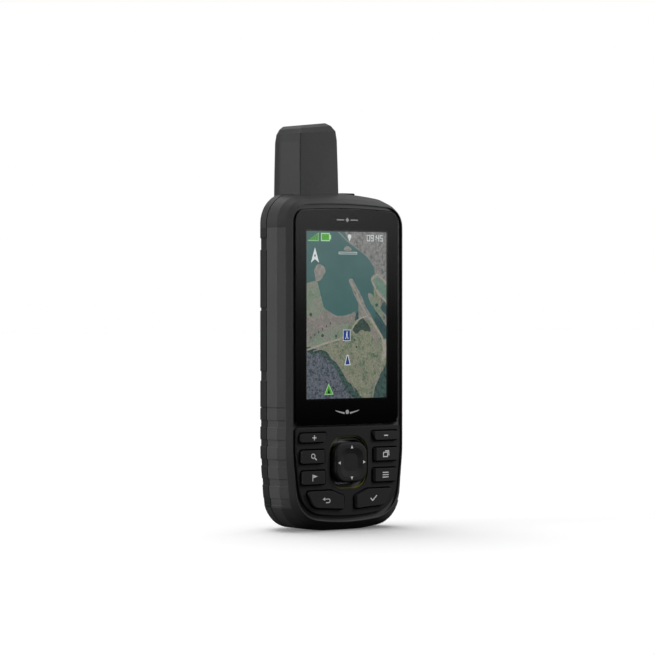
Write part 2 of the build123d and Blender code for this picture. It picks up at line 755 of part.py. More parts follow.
jack_cap = rod_y(jack_cap_radius, jack_x, (cap_front, cap_back), jack_z)
jack_cap = fillet(jack_cap.faces().sort_by(Axis.Y)[-1].edges(), 0.4)
jack_cap += block((jack_x + 3, jack_pin_x), (pin_y - 0.6, pin_y + 0.6), (jack_z - 1.8, jack_z + 1.8))
jack_cap += rod_z(knuckle_radius, jack_pin_x, pin_y, (jack_z - jack_knuckle, jack_z + jack_knuckle))
jack_cap -= rod_z(pin_radius + running_gap, jack_pin_x, pin_y, (jack_z - 10, jack_z + 10))
save(jack_cap, "jack_cap")


def cap_pin(x, z, half):
    """Steel pin of a cap hinge, held in the housing at both ends."""
    return rod_z(pin_radius, x, pin_y, (z - half - 1.2, z + half + 1.2))


pins = [
    cap_pin(usb_pin_x, usb_z, usb_cap_height / 2 + 0.2),
    cap_pin(jack_pin_x, jack_z, jack_knuckle + 0.2),
]
save(Compound(pins), "cap_pins")

# ---- torch, vent, power button ----
torch_lens = rod_y(torch_radius, torch_x, (12.6, back_y), torch_z)
save(fillet(torch_lens.edges().sort_by(Axis.Y)[-1], 0.5), "torch_lens")
reflector = rod_y(3.0, torch_x, (10.0, 12.6), torch_z)
reflector -= Pos(torch_x, 11.3, torch_z) * Rot(-90, 0, 0) * Cone(1.6, 2.8, 2.6)
save(reflector, "torch_reflector")
led = block((torch_x - 1.0, torch_x + 1.0), (10.0, 10.5), (torch_z - 1.0, torch_z + 1.0))
save(led + rod_y(3.0, torch_x, (9.2, 10.0), torch_z), "torch_led")
save(rod_y(2.6, vent_x, (11.5, 11.9), vent_z), "vent_membrane")
button = Pos(0, 0, button_low + 0.6) * extrude(power_outline(), amount=power_top - button_low - 0.6)
button = fillet(button.faces().sort_by(Axis.Z)[-1].edges(), 0.5)
button += Pos(0, 0, button_low) * extrude(power_outline(0.7), amount=0.6)
save(button, "power_button")
switch_depth = (power_y - 2.5, power_y + 2.5)
switch = block((power_x - 2.5, power_x + 2.5), switch_depth, (switch_low, switch_low + 2.0))
save(switch + rod_z(1.2, power_x, power_y, (switch_low + 2.0, switch_low + 2.6)), "power_switch")

# ---- memory card ----
card_y = (bay_floor - 1.45, bay_floor - 0.75)
socket = block((-6.6, 6.6), (bay_floor - 2.2, bay_floor - 0.3), (45.0, 61.0))
socket -= block((-5.6, 5.6), (card_y[0] - 0.05, card_y[1] + 0.05), (47.0, 62.0))
save(socket, "card_socket")
save(block((-5.5, 5.5), card_y, (47.2, 62.4)), "memory_card")

# ---- batteries ----
cell_radius = 7.1
cell_x = 7.35
cell_y = bay_floor + cell_radius + 0.2
cell_middle = (bay_low + bay_high) / 2
cell_half = 25.2
nub = 1.3


def cell(side):
    """Round cell; the left one stands nub up and the right one nub down."""
    x = side * cell_x
    body_z = (cell_middle - cell_half + max(side, 0) * nub, cell_middle + cell_half - max(-side, 0) * nub)
    can = rod_z(cell_radius, x, cell_y, body_z)
    tip = (body_z[1], body_z[1] + nub) if side < 0 else (body_z[0] - nub, body_z[0])
    return can + rod_z(2.7, x, cell_y, tip)


def spring(x, seat, tip):
    """Coil spring as a stack of shrinking rings between its seat and the cell."""
    turns = 5
    wire = 0.52
    way = 1 if tip > seat else -1
    room = abs(tip - seat) - 2 * wire
    rings = []
    for i in range(turns):
        share = i / (turns - 1)
        rings.append(Pos(x, cell_y, seat + way * (wire + room * share)) * Torus(4.6 - 1.6 * share, wire))
    return rings[0].fuse(*rings[1:])


plate_thick = 0.4
low_seat = bay_low + plate_thick
high_seat = bay_high - plate_thick
cell_low = cell_middle - cell_half
cell_high = cell_middle + cell_half
save(Compound([cell(-1), cell(1)]), "battery_cells")
springs = [spring(-cell_x, low_seat, cell_low), spring(cell_x, high_seat, cell_high)]
save(Compound(springs), "battery_springs")
contact_y = (cell_y - 5.5, cell_y + 5.5)
contacts = [
    block((-13.5, 13.5), contact_y, (bay_low, low_seat))
    + rod_z(3.0, cell_x, cell_y, (low_seat, cell_low)),
    block((-13.5, 13.5), contact_y, (high_seat, bay_high))
    + rod_z(3.0, -cell_x, cell_y, (cell_high, high_seat)),
]
save(Compound(contacts), "battery_contacts")
save(gasket_ring(ledge_back - 0.8, ledge_back, 0.9), "door_gasket")

# ---- battery door with its rail ----
spine_z = (40.0, 80.0)
spine_neck = 4.6
spine_head = 6.6
neck_back = 15.6
spine_screws_at = (48.0, 72.0)
head_depth = 0.9
door = plate(door_outline(), door_inside, back_y)
door += rod_x(hinge_round, (-door_half_width, door_half_width), hinge_y, hinge_z)
door -= rod_y(stud_radius + running_gap, 0, (0, 20), latch_z)
for z in spine_screws_at:
    door -= rod_y(1.9, 0, (door_inside - 1, door_inside + head_depth), z)
    door -= rod_y(0.9, 0, (door_inside, back_y + 1), z)
save(door, "battery_door")

spine = block((-spine_neck, spine_neck), (back_y, neck_back), spine_z)
rail_head = block((-spine_head, spine_head), (neck_back, back_limit), spine_z)
spine += chamfer(rail_head.faces().sort_by(Axis.Y)[-1].edges(), 0.5)
stop = block((-spine_head, spine_head), (back_y, neck_back), (spine_z[1] - 3.0, spine_z[1]))
spine += stop
for z in spine_screws_at:
    spine -= rod_y(0.9, 0, (back_y - 1, back_y + 2.6), z)
save(spine, "mounting_spine")


def spine_screw(z):
    """Flat-head screw from inside the door into the rail."""
    return rod_y(1.9, 0, (door_inside, door_inside + head_depth), z) + rod_y(
        0.9, 0, (door_inside + head_depth, back_y + 2.4), z
    )


save(Compound([spine_screw(z) for z in spine_screws_at]), "spine_screws")

# ---- latch ----
flange_back = back_y + 0.9
clip_y = (ledge_back - 0.5, ledge_back)
tongue_y = (10.0, 10.9)
stud = rod_y(stud_radius, 0, (tongue_y[0], back_y + 0.1), latch_z)
stud += rod_y(5.6, 0, (back_y + 0.1, flange_back), latch_z)
stud += block((-3.2, 3.2), (flange_back - 0.1, ring_y), (latch_z - 1.9, latch_z + 1.9))
stud += rod_x(1.9, (-3.2, 3.2), ring_y, latch_z)
stud += block((-5.5, 5.5), tongue_y, (latch_z - 2.0, latch_z + 2.0))
stud &= block((-30, 30), (0, back_limit - 0.05), (0, 60))
stud -= rod_x(ring_wire + running_gap, (-10, 10), ring_y, latch_z)
save(stud, "latch_stud")
clip = rod_y(3.9, 0, clip_y, latch_z) - rod_y(stud_radius, 0, clip_y, latch_z)
save(clip, "latch_clip")

bow_z = latch_z + 6.0
ring = rod_x(ring_wire, (-ring_half_width, ring_half_width), ring_y, latch_z)
bow = Pos(0, ring_y, bow_z) * Rot(90, 0, 0) * Torus(ring_half_width, ring_wire)
ring += bow & block((-20, 20), (0, 30), (bow_z, 60))
for side in (-1, 1):
    ring += rod_z(ring_wire, side * ring_half_width, ring_y, (latch_z, bow_z))
    ring += Pos(side * ring_half_width, ring_y, latch_z) * Sphere(ring_wire)
save(ring, "d_ring")
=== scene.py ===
"""Looks for a rugged handheld GPS unit: plastics, rubber, glass, screen picture, legends and studio."""
import json
import math

import bmesh
import bpy
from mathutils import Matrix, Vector, noise


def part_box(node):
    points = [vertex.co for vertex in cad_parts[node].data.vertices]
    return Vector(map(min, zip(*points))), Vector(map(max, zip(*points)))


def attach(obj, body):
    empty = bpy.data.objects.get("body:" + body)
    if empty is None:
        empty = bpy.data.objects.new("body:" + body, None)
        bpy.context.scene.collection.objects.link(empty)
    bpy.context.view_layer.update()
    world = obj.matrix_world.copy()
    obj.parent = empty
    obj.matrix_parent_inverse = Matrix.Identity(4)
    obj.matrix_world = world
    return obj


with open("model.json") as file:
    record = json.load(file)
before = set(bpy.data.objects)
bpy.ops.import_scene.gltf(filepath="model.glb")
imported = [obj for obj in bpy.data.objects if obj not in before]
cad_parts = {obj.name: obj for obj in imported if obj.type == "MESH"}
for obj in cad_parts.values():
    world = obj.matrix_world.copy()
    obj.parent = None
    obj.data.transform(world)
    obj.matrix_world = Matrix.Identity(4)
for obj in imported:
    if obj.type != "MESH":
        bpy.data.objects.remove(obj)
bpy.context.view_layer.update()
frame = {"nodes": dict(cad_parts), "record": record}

MM = 0.001
ACRYLIC_IOR = 1.49
SLOT = {row["node"]: row["material_slot"] for row in frame["record"]["subparts"]}


# ---------------------------------------------------------------- shader building
class Paint:
    """A material under construction, with short ways to add and join nodes."""

    def __init__(self, name):
        self.material = bpy.data.materials.new(name)
        self.material.use_nodes = True
        self.tree = self.material.node_tree
        self.tree.nodes.clear()
        self.shader = self.put("BsdfPrincipled")
        self.output = self.put("OutputMaterial", {"Surface": self.shader.outputs[0]})
        self.where = self.put("TexCoord").outputs["Object"]

    def put(self, kind, inputs=None, **settings):
        """Add a node. An input is a socket to link, or a value."""
        node = self.tree.nodes.new("ShaderNode" + kind)
        for key, value in settings.items():
            setattr(node, key, value)
        for key, value in (inputs or {}).items():
            if isinstance(value, bpy.types.NodeSocket):
                self.tree.links.new(value, node.inputs[key])
            else:
                node.inputs[key].default_value = value
        return node

    def set(self, **values):
        """Set or link inputs of the shader; an underscore in a name stands for a space."""
        for key, value in values.items():
            socket = self.shader.inputs[key.replace("_", " ")]
            if isinstance(value, bpy.types.NodeSocket):
                self.tree.links.new(value, socket)
            else:
                socket.default_value = value

    def noise(self, size, detail=3.0, stretch=(1.0, 1.0, 1.0)):
        """Cloud noise with features of about this size in metres."""
        place = self.put("Mapping", {"Vector": self.where, "Scale": stretch}).outputs[0]
        return self.put("TexNoise", {"Vector": place, "Scale": 1 / size, "Detail": detail}).outputs["Fac"]

    def ramp(self, factor, stops):
        """Colours or greys along a factor."""
        node = self.put("ValToRGB", {"Fac": factor})
        elements = node.color_ramp.elements
        while len(elements) < len(stops):
            elements.new(0.5)
        for element, (place, colour) in zip(elements, stops):
            element.position = place
            element.color = colour if len(colour) == 4 else (*colour, 1.0)
        return node.outputs["Color"]

    def mix(self, factor, first, second, blend="MIX"):
        """Blend two colours."""
        node = self.put("Mix", data_type="RGBA", blend_type=blend)
        for index, value in ((0, factor), (6, first), (7, second)):
            if isinstance(value, bpy.types.NodeSocket):
                self.tree.links.new(value, node.inputs[index])
            elif index == 0:
                node.inputs[0].default_value = value
            else:
                node.inputs[index].default_value = (*value, 1.0)
        return node.outputs[2]

    def math(self, operation, first, second=0.0, clamp=False):
        """One step of arithmetic."""
        node = self.put("Math", operation=operation, use_clamp=clamp)
        for index, value in ((0, first), (1, second)):
            if isinstance(value, bpy.types.NodeSocket):
                self.tree.links.new(value, node.inputs[index])
            else:
                node.inputs[index].default_value = value
        return node.outputs[0]

    def remap(self, factor, low, high, start=0.0, end=1.0):
        """Stretch a factor from start..end to low..high."""
        limits = {"From Min": start, "From Max": end, "To Min": low, "To Max": high}
        return self.put("MapRange", {"Value": factor, **limits}).outputs[0]

    def edges(self, radius):
        """Rounded normal for small edge radii, and a mask that is bright on the edges."""
        rounded = self.put("Bevel", {"Radius": radius}, samples=8).outputs[0]
        flat = self.put("NewGeometry").outputs["Normal"]
        facing = self.put("VectorMath", {0: rounded, 1: flat}, operation="DOT_PRODUCT").outputs["Value"]
        mask = self.remap(facing, 1.0, 0.0, 0.80, 0.995)
        return rounded, mask


def shade(colour, amount):
    """A colour made lighter or darker."""
    return tuple(min(channel * amount, 1.0) for channel in colour)


def moulded(name, colour, rough, grain=0.35 * MM, relief=0.02 * MM, edge=0.25 * MM, wear=0.5, specular=0.5):
    """Moulded plastic or rubber: fine grain, faint clouding, rounded and slightly polished edges."""
    p = Paint(name)
    cloud = p.noise(9 * MM, 4)
    fine = p.noise(grain, 2)
    rounded, mask = p.edges(edge)
    body = p.mix(cloud, shade(colour, 0.84), shade(colour, 1.16))
    body = p.mix(p.remap(fine, 0.0, 0.35, 0.35, 0.7), body, shade(colour, 1.5))
    worn = p.math("MULTIPLY", mask, p.remap(p.noise(4 * MM, 3), 0.0, wear, 0.3, 0.65))
    body = p.mix(worn, body, shade(colour, 2.2))
    rough_map = p.math("SUBTRACT", p.remap(cloud, rough - 0.06, rough + 0.06), p.math("MULTIPLY", worn, 0.15))
    bump = p.put("Bump", {"Strength": 0.6, "Distance": relief, "Height": fine, "Normal": rounded})
    p.set(Base_Color=body, Roughness=rough_map, Normal=bump.outputs[0], Specular_IOR_Level=specular)
    return p.material


def metal(name, colour, rough, brushed=(1.0, 1.0, 1.0), grain=0.2 * MM):
    """Bare metal with brushing or fine tarnish and bright edges."""
    p = Paint(name)
    lines = p.noise(grain, 3, brushed)
    cloud = p.noise(3 * MM, 4)
    rounded, mask = p.edges(0.12 * MM)
    body = p.mix(cloud, shade(colour, 0.78), colour)
    body = p.mix(p.math("MULTIPLY", mask, 0.5), body, shade(colour, 1.25))
    bump = p.put("Bump", {"Strength": 0.4, "Distance": 0.01 * MM, "Height": lines, "Normal": rounded})
    p.set(
        Base_Color=body,
        Metallic=1.0,
        Roughness=p.remap(lines, rough - 0.08, rough + 0.1),
        Normal=bump.outputs[0],
    )
    return p.material


def clear_glass(name, tint=(1.0, 1.0, 1.0)):
    """Hard clear cover with a trace of smudging."""
    p = Paint(name)
    smudge = p.noise(12 * MM, 5)
    body = p.mix(smudge, tint, shade(tint, 0.985))
    rough = p.remap(smudge, 0.0, 0.012, 0.45, 0.8)
    p.set(Base_Color=body, Transmission_Weight=1.0, IOR=ACRYLIC_IOR, Roughness=rough)
    return p.material


def circuit(name):
    """Green solder mask with faint traces, pads and a woven laminate."""
    p = Paint(name)
    turned = p.put("Mapping", {"Vector": p.where, "Rotation": (math.radians(90), 0, 0)}).outputs[0]
    traces = p.put("TexBrick", {
        "Vector": turned,
        "Color1": (0.006, 0.05, 0.02, 1),
        "Color2": (0.008, 0.065, 0.028, 1),
        "Mortar": (0.02, 0.13, 0.055, 1),
        "Scale": 320.0,
        "Mortar Size": 0.03,
    })
    weave = p.noise(0.5 * MM, 2)
    body = p.mix(p.remap(weave, 0.0, 0.3), traces.outputs["Color"], (0.01, 0.1, 0.04))
    bump = p.put("Bump", {"Strength": 0.5, "Distance": 0.02 * MM, "Height": traces.outputs["Fac"]})
    p.set(Base_Color=body, Roughness=p.remap(weave, 0.25, 0.4), Normal=bump.outputs[0])
    return p.material


def display_black(name):
    """Dark display glass round the picture."""
    p = Paint(name)
    cloud = p.noise(6 * MM, 3)
    body = p.mix(cloud, (0.002, 0.002, 0.0025), (0.004, 0.004, 0.005))
    p.set(Base_Color=body, Roughness=p.remap(cloud, 0.25, 0.35), Specular_IOR_Level=0.0)
    return p.material


def battery_wrap(name):
    """Printed cell jacket: a dark body, a copper-coloured band at the nub end and bright end caps."""
    p = Paint(name)
    low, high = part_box("battery_cells")
    up = p.put("SeparateXYZ", {"Vector": p.where})
    height = p.remap(up.outputs["Z"], 0.0, 1.0, low.z, high.z)
    left = p.math("LESS_THAN", up.outputs["X"], 0.0)
    flipped = p.math("SUBTRACT", 1.0, height)
    along = p.put("Mix", {0: left, 2: flipped, 3: height}, data_type="FLOAT").outputs[0]
    scuff = p.noise(2 * MM, 4)
    steel = (0.6, 0.6, 0.62)
    dark = (0.012, 0.013, 0.016)
    band = p.ramp(along, [
        (0.0, steel),
        (0.035, steel),
        (0.04, dark),
        (0.70, dark),
        (0.705, (0.55, 0.24, 0.10)),
        (0.955, (0.6, 0.27, 0.11)),
        (0.96, steel),
    ])
    band.node.color_ramp.interpolation = "CONSTANT"
    body = p.mix(p.remap(scuff, 0.0, 0.25, 0.5, 0.8), band, (0.3, 0.3, 0.3))
    shiny = p.ramp(along, [(0.0, (1, 1, 1)), (0.04, (0.1, 0.1, 0.1)), (0.96, (1, 1, 1))])
    shiny.node.color_ramp.interpolation = "CONSTANT"
    p.set(Base_Color=body, Metallic=shiny, Roughness=p.remap(scuff, 0.25, 0.42))
    return p.material


# Grain, relief and edge radius in metres; wear and specular are shares.
SOFT_PAD = {"grain": 0.28 * MM, "relief": 0.03 * MM, "edge": 0.3 * MM, "wear": 0.35}
SOFT_KEY = {"grain": 0.22 * MM, "relief": 0.015 * MM, "edge": 0.3 * MM}
FINE_SHELL = {"grain": 0.25 * MM, "relief": 0.012 * MM, "edge": 0.2 * MM, "wear": 0.3}
THIN_SEAL = {"grain": 0.3 * MM, "relief": 0.02 * MM, "edge": 0.1 * MM, "wear": 0.2}
THIN_RING = {"grain": 0.3 * MM, "relief": 0.01 * MM, "edge": 0.1 * MM, "wear": 0.2}


def make_materials():
    """One finish for every slot of the record."""
    return {
        "housing": moulded("housing_plastic", (0.038, 0.0382, 0.039), 0.5, specular=0.2),
        "grip": moulded("grip_rubber", (0.054, 0.0542, 0.055), 0.55, specular=0.35, **SOFT_PAD),
        # A darker copy of the grip rubber for the rear grips: painted shade where their surface turns away
        # from the light.
        "grip_rear_painted_shade": moulded("grip_rubber_painted_shade", (0.013, 0.0132, 0.0136), 0.5, specular=0.3, **SOFT_PAD),
        "panel": moulded("panel_plastic", (0.011, 0.011, 0.0114), 0.42, specular=0.3, **FINE_SHELL),
        "key": moulded("key_rubber", (0.0135, 0.0135, 0.014), 0.5, wear=0.45, specular=0.3, **SOFT_KEY),
        "antenna": moulded("antenna_plastic", (0.032, 0.0322, 0.033), 0.5, specular=0.2),
        "power": moulded("power_rubber", (0.007, 0.007, 0.0075), 0.5, wear=0.3, specular=0.2, **SOFT_KEY),
        "seal": moulded("seal_silicone", (0.008, 0.008, 0.0085), 0.62, specular=0.3, **THIN_SEAL),
        "accent": moulded("accent_ring", (0.055, 0.05, 0.004), 0.45, **THIN_RING),
        "black_plastic": moulded("black_nylon", (0.02, 0.02, 0.021), 0.5),
        "white_plastic": moulded("white_resin", (0.62, 0.62, 0.60), 0.45, wear=0.1),
        "lens_print": display_black("lens_print"),
        "glass": clear_glass("cover_glass"),
        "clear": clear_glass("torch_window", (0.96, 0.98, 1.0)),
        "display": display_black("display_edge"),
        "steel": metal("steel_satin", (0.52, 0.52, 0.53), 0.32, (1.0, 1.0, 0.15)),
        "tin": metal("tin_plate", (0.62, 0.62, 0.60), 0.28, (0.2, 1.0, 1.0)),
        "screw": metal("screw_blackened", (0.10, 0.10, 0.105), 0.4),
        "copper": metal("copper_strip", (0.75, 0.36, 0.20), 0.3),
        "gold": metal("gold_plate", (0.9, 0.62, 0.22), 0.25),
        "board": circuit("circuit_board"),
        "cell": battery_wrap("battery_jacket"),
    }


FINISH = {"lens_adhesive": "lens_print", "power_button": "power", "antenna_cover": "antenna"}


def paint_nodes(materials):
    """Give every CAD node the finish of its slot."""
    for name, node in frame["nodes"].items():
        node.data.materials.clear()
        # Rear grips get the darker copy of the grip rubber, which paints shade on them.
        finish = "grip_rear_painted_shade" if name.startswith("rear_grip") else SLOT[name]
        finish = FINISH.get(name, finish)
        node.data.materials.append(materials[finish])


materials = make_materials()
paint_nodes(materials)


# ---------------------------------------------------------------- studio
# Brightness of the light tent, and of the band over the front horizon, against the slope upward.
TENT = ((-0.1, 0.01), (-0.04, 0.01), (0.06, 0.25), (0.5, 0.35))
BAND = ((-0.05, 0.0), (-0.005, 0.09), (0.033, 0.5), (0.09, 0.5), (0.3, 0.1), (0.5, 0.0))
LOWEST = 0.1
LEFT = (-0.95, 0.3, 0.0)
FRONT = (0.6, -0.8, 0.0)
ACROSS = (0.78, 0.62, 0.0)

# Name, direction the light comes from, strength and angle in degrees.
SUNS = (
    ("top_lamp", (0.1, 0.4, 1.0), 1.8, 60),
    ("side_lamp", (-0.95, 0.22, 0.0), 3.4, 35),
)
FRONT_LAMP_PLACE = (0.15, -0.13, 0.15)
FRONT_LAMP_TARGET = (0.0, 0.0, 0.08)
FRONT_LAMP_SIZE = (0.05, 0.10)
FRONT_LAMP_POWER = 0.80

FLOOR_HALF = 6.0
FLOOR_GLOW = 0.13

CAMERA_AZIMUTH = -36.8
CAMERA_RISE = 0.5
CAMERA_REACH = 1.1
CAMERA_LENS = 154.1
CAMERA_TARGET = (-0.0059, -0.0094, 0.0795)


def studio_world():
    """White to the camera; for light and reflections a soft tent, dark below and bright over the front."""
    world = bpy.data.worlds.new("studio")
    bpy.context.scene.world = world
    world.use_nodes = True
    nodes = world.node_tree.nodes
    links = world.node_tree.links
    nodes.clear()

    def put(kind, inputs, **settings):
        node = nodes.new("ShaderNode" + kind)
        for key, value in settings.items():
            setattr(node, key, value)
        for key, value in inputs.items():
            if isinstance(value, bpy.types.NodeSocket):
                links.new(value, node.inputs[key])
            else:
                node.inputs[key].default_value = value
        return node.outputs

    def toward(direction, vector, low, high, start, end):
        """A factor that rises along a direction."""
        facing = put("VectorMath", {0: direction, 1: vector}, operation="DOT_PRODUCT")["Value"]
        limits = {"Value": facing, "From Min": low, "From Max": high, "To Min": start, "To Max": end}
        return put("MapRange", limits)[0]

    direction = put("TexCoord", {})["Generated"]
    height = put("SeparateXYZ", {"Vector": direction})["Z"]
    scaled = put("MapRange", {"Value": height, "From Min": -LOWEST, "From Max": 1.0 - LOWEST})[0]

    def profile(levels):
        """Brightness that follows the slope upward."""
        ramp = put("ValToRGB", {"Fac": scaled})["Color"]
        elements = ramp.node.color_ramp.elements
        while len(elements) < len(levels):
            elements.new(0.5)
        for element, (rise, level) in zip(elements, levels):
            element.position = rise + LOWEST
            element.color = (level, level, level, 1.0)
        return ramp

    left = toward(direction, LEFT, -1.0, 1.0, 0.5, 1.5)
    front = toward(direction, FRONT, 0.6, 0.95, 0.0, 1.0)
    across = toward(direction, ACROSS, -0.03, 0.02, 1.4, 0.75)
    tent_level = put("Math", {0: profile(TENT), 1: left}, operation="MULTIPLY")[0]
    band_level = put("Math", {0: profile(BAND), 1: front}, operation="MULTIPLY")[0]
    band_level = put("Math", {0: band_level, 1: across}, operation="MULTIPLY")[0]
    level = put("Math", {0: tent_level, 1: band_level}, operation="ADD")[0]
    tent = put("Background", {"Color": (1.0, 1.0, 1.0, 1.0), "Strength": level})[0]
    white = put("Background", {"Color": (1.0, 1.0, 1.0, 1.0), "Strength": 1.0})[0]
    seen = put("LightPath", {})["Is Camera Ray"]
    put("OutputWorld", {"Surface": put("MixShader", {0: seen, 1: tent, 2: white})[0]})


def studio_floor():
    """Plain white floor, left out of reflections and bounced light so that black parts stay black."""
    half = FLOOR_HALF
    corners = [(-half, -half, 0), (half, -half, 0), (half, half, 0), (-half, half, 0)]
    mesh = bpy.data.meshes.new("floor")
    mesh.from_pydata(corners, [], [(0, 1, 2, 3)])
    floor = bpy.data.objects.new("floor", mesh)
    bpy.context.collection.objects.link(floor)
    floor.visible_glossy = False
    floor.visible_transmission = False
    floor.visible_diffuse = False
    p = Paint("floor_white")
    body = p.mix(p.noise(0.4, 2), (0.96, 0.96, 0.96), (0.98, 0.98, 0.98))
    p.set(Base_Color=body, Roughness=0.9, Specular_IOR_Level=0.0)
    p.set(Emission_Color=(1.0, 1.0, 1.0, 1.0), Emission_Strength=FLOOR_GLOW)
    mesh.materials.append(p.material)
    return floor


def sun(name, toward, strength, angle):
    """Soft distant lamp shining from a direction."""
    lamp = bpy.data.lights.new(name, "SUN")
    lamp.energy = strength
    lamp.angle = math.radians(angle)
    holder = bpy.data.objects.new(name, lamp)
    holder.rotation_mode = "QUATERNION"
    holder.rotation_quaternion = Vector(toward).to_track_quat("Z", "Y")
    bpy.context.collection.objects.link(holder)


def soft_box(name, place, target, size, power, floor):
    """Rectangular lamp near the unit, which leaves the floor alone."""
    lamp = bpy.data.lights.new(name, "AREA")
    lamp.shape = "RECTANGLE"
    lamp.size, lamp.size_y = size
    lamp.energy = power
    holder = bpy.data.objects.new(name, lamp)
    holder.location = place
    holder.rotation_mode = "QUATERNION"
    holder.rotation_quaternion = (Vector(place) - Vector(target)).to_track_quat("Z", "Y")
    holder.visible_camera = False
    holder.visible_glossy = False
    holder.visible_transmission = False
    bpy.context.collection.objects.link(holder)
    unlit = bpy.data.collections.new(f"{name}_unlit")
    unlit.objects.link(floor)
    unlit.collection_objects[0].light_linking.link_state = "EXCLUDE"
    holder.light_linking.receiver_collection = unlit


def studio_camera():
    """Long lens from the front left, almost level."""
    azimuth = math.radians(CAMERA_AZIMUTH)
    elevation = math.radians(CAMERA_RISE)
    back = Vector((
        math.sin(azimuth) * math.cos(elevation),
        -math.cos(azimuth) * math.cos(elevation),
        math.sin(elevation),
    ))
    camera = bpy.data.cameras.new("camera")
    camera.lens = CAMERA_LENS
    camera.sensor_width = 36.0
    camera.clip_start = 0.05
    camera.clip_end = 50.0
    holder = bpy.data.objects.new("camera", camera)
    holder.location = Vector(CAMERA_TARGET) + back * CAMERA_REACH
    holder.rotation_mode = "QUATERNION"
    holder.rotation_quaternion = (-back).to_track_quat("-Z", "Y")
    bpy.context.collection.objects.link(holder)
    bpy.context.scene.camera = holder


bpy.context.scene.view_settings.view_transform = "Standard"
studio_world()
floor = studio_floor()
for lamp_row in SUNS:
    sun(*lamp_row)
soft_box("front_lamp", FRONT_LAMP_PLACE, FRONT_LAMP_TARGET, FRONT_LAMP_SIZE, FRONT_LAMP_POWER, floor)
studio_camera()


# ---------------------------------------------------------------- mesh building
def link_mesh(name, bm, materials_used):
    """Turn a bmesh into an object."""
    bmesh.ops.recalc_face_normals(bm, faces=bm.faces[:])
    mesh = bpy.data.meshes.new(name)
    bm.to_mesh(mesh)
    bm.free()
    for material in materials_used:
        mesh.materials.append(material)
    thing = bpy.data.objects.new(name, mesh)
    bpy.context.collection.objects.link(thing)
    return thing


def stroke(points, width, closed=False):
    """Quads along a line of points, with mitred corners."""
    count = len(points)
    left, right = [], []
    for i, (x, y) in enumerate(points):
        ahead = points[(i + 1) % count] if closed or i < count - 1 else None
        behind = points[i - 1] if closed or i > 0 else None
        normals = []
        for first, second in ((behind, (x, y)), ((x, y), ahead)):
            if first is not None and second is not None:
                dx, dy = second[0] - first[0], second[1] - first[1]
                length = math.hypot(dx, dy)
                normals.append((-dy / length, dx / length))
        nx = sum(n[0] for n in normals)
        ny = sum(n[1] for n in normals)
        length = math.hypot(nx, ny)
        nx, ny = nx / length, ny / length
        mitre = min(1 / max(nx * normals[0][0] + ny * normals[0][1], 0.4), 2.0) * width / 2
        left.append((x + nx * mitre, y + ny * mitre))
        right.append((x - nx * mitre, y - ny * mitre))
    steps = range(count if closed else count - 1)
    return [[left[i], left[(i + 1) % count], right[(i + 1) % count], right[i]] for i in steps]


def arc(cx, cy, radius, start, end, steps=16):
    """Points along a circular arc, in degrees."""
    angles = [math.radians(start + (end - start) * i / steps) for i in range(steps + 1)]
    return [(cx + radius * math.cos(a), cy + radius * math.sin(a)) for a in angles]


def disc(cx, cy, radius, steps=20):
    """Filled circle as one outline."""
    return [arc(cx, cy, radius, 0, 360, steps)[:-1]]


def bar(x0, y0, x1, y1):
    """Filled rectangle as one outline."""
    return [[(x0, y0), (x1, y0), (x1, y1), (x0, y1)]]


def inlay(name, shapes, place, thick, material):
    """Thin raised print: flat outlines in millimetres, put in space by place(u, v, depth)."""
    bm = bmesh.new()
    for outline in shapes:
        bm.faces.new([bm.verts.new(place(u * MM, v * MM, 0.0)) for u, v in outline])
    bmesh.ops.remove_doubles(bm, verts=bm.verts[:], dist=1e-7)
    grown = bmesh.ops.extrude_face_region(bm, geom=bm.faces[:])
    moved = [v for v in grown["geom"] if isinstance(v, bmesh.types.BMVert)]
    shift = Vector(place(0.0, 0.0, thick)) - Vector(place(0.0, 0.0, 0.0))
    bmesh.ops.translate(bm, verts=moved, vec=shift)
    bmesh.ops.triangulate(bm, faces=bm.faces[:])
    return link_mesh(name, bm, [material])


def front_place(x, z, y):
    """Places a drawing on a surface that faces the front, centred at x, z."""
    return lambda u, v, depth: (x + u, y - depth, z + v)


def back_place(x, z, y):
    """Places a drawing on a surface that faces the back."""
    return lambda u, v, depth: (x - u, y + depth, z + v)


def top_place(x, y, z):
    """Places a drawing on a surface that faces up."""
    return lambda u, v, depth: (x + u, y + v, z + depth)


def middle(node):
    """Centre of a CAD node's box."""
    low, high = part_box(node)
    return (low + high) / 2


# ---------------------------------------------------------------- key legends
def print_white():
    """Silk-screened legend paint, slightly uneven."""
    p = Paint("legend_print")
    patch = p.noise(0.6 * MM, 4)
    body = p.mix(patch, (0.36, 0.36, 0.36), (0.5, 0.5, 0.49))
    p.set(Base_Color=body, Roughness=p.remap(patch, 0.45, 0.6))
    return p.material


# Line widths and print depths in millimetres.
LINE = 0.34
BOLD_LINE = 0.45
LEGEND_DEPTH = 0.03
SMALL_PRINT_DEPTH = 0.02

